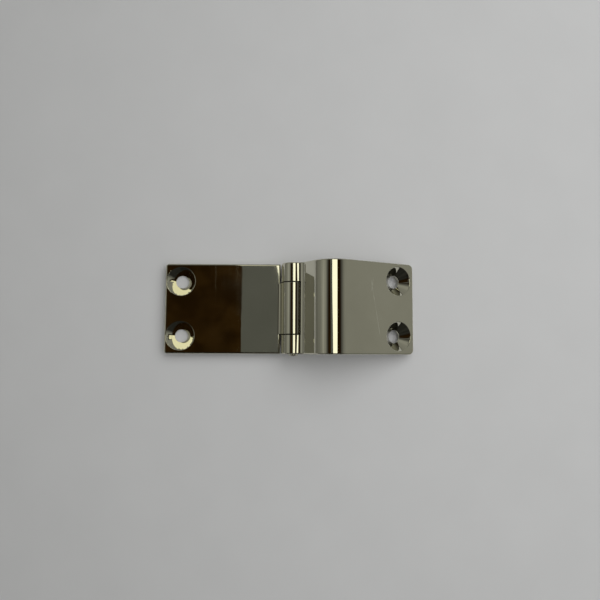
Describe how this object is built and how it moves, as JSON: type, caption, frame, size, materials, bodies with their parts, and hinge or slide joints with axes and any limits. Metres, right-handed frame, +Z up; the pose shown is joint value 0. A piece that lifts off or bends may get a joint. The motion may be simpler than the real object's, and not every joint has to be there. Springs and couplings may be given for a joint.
{
  "type": "marine hinge",
  "caption": "Polished cranked hinge: a flat leaf and an offset leaf turn on a pin through interleaved knuckles, with countersunk screw holes in both leaves.",
  "frame": {"origin": "on the flat leaf's mounting plane, straight under the pin's axis and midway along the leaves", "axes": "+Z up from the mounting plane, +Y along the pin, +X from the pin towards the cranked leaf"},
  "size_m": [0.1046, 0.0388, 0.0201],
  "materials": {
    "polished_steel": "polished",
    "pin_steel": "polished"
  },
  "bodies": {
    "flat_leaf": {"flat_leaf": "polished_steel"},
    "cranked_leaf": {"cranked_leaf": "polished_steel", "hinge_pin": "pin_steel"}
  },
  "joints": [
    {"name": "leaf_swing", "type": "hinge", "parent": "flat_leaf", "child": "cranked_leaf", "pos_m": [0, 0, 0.0051], "axis": [0, -1, 0], "range_deg": [0, 126]}
  ]
}
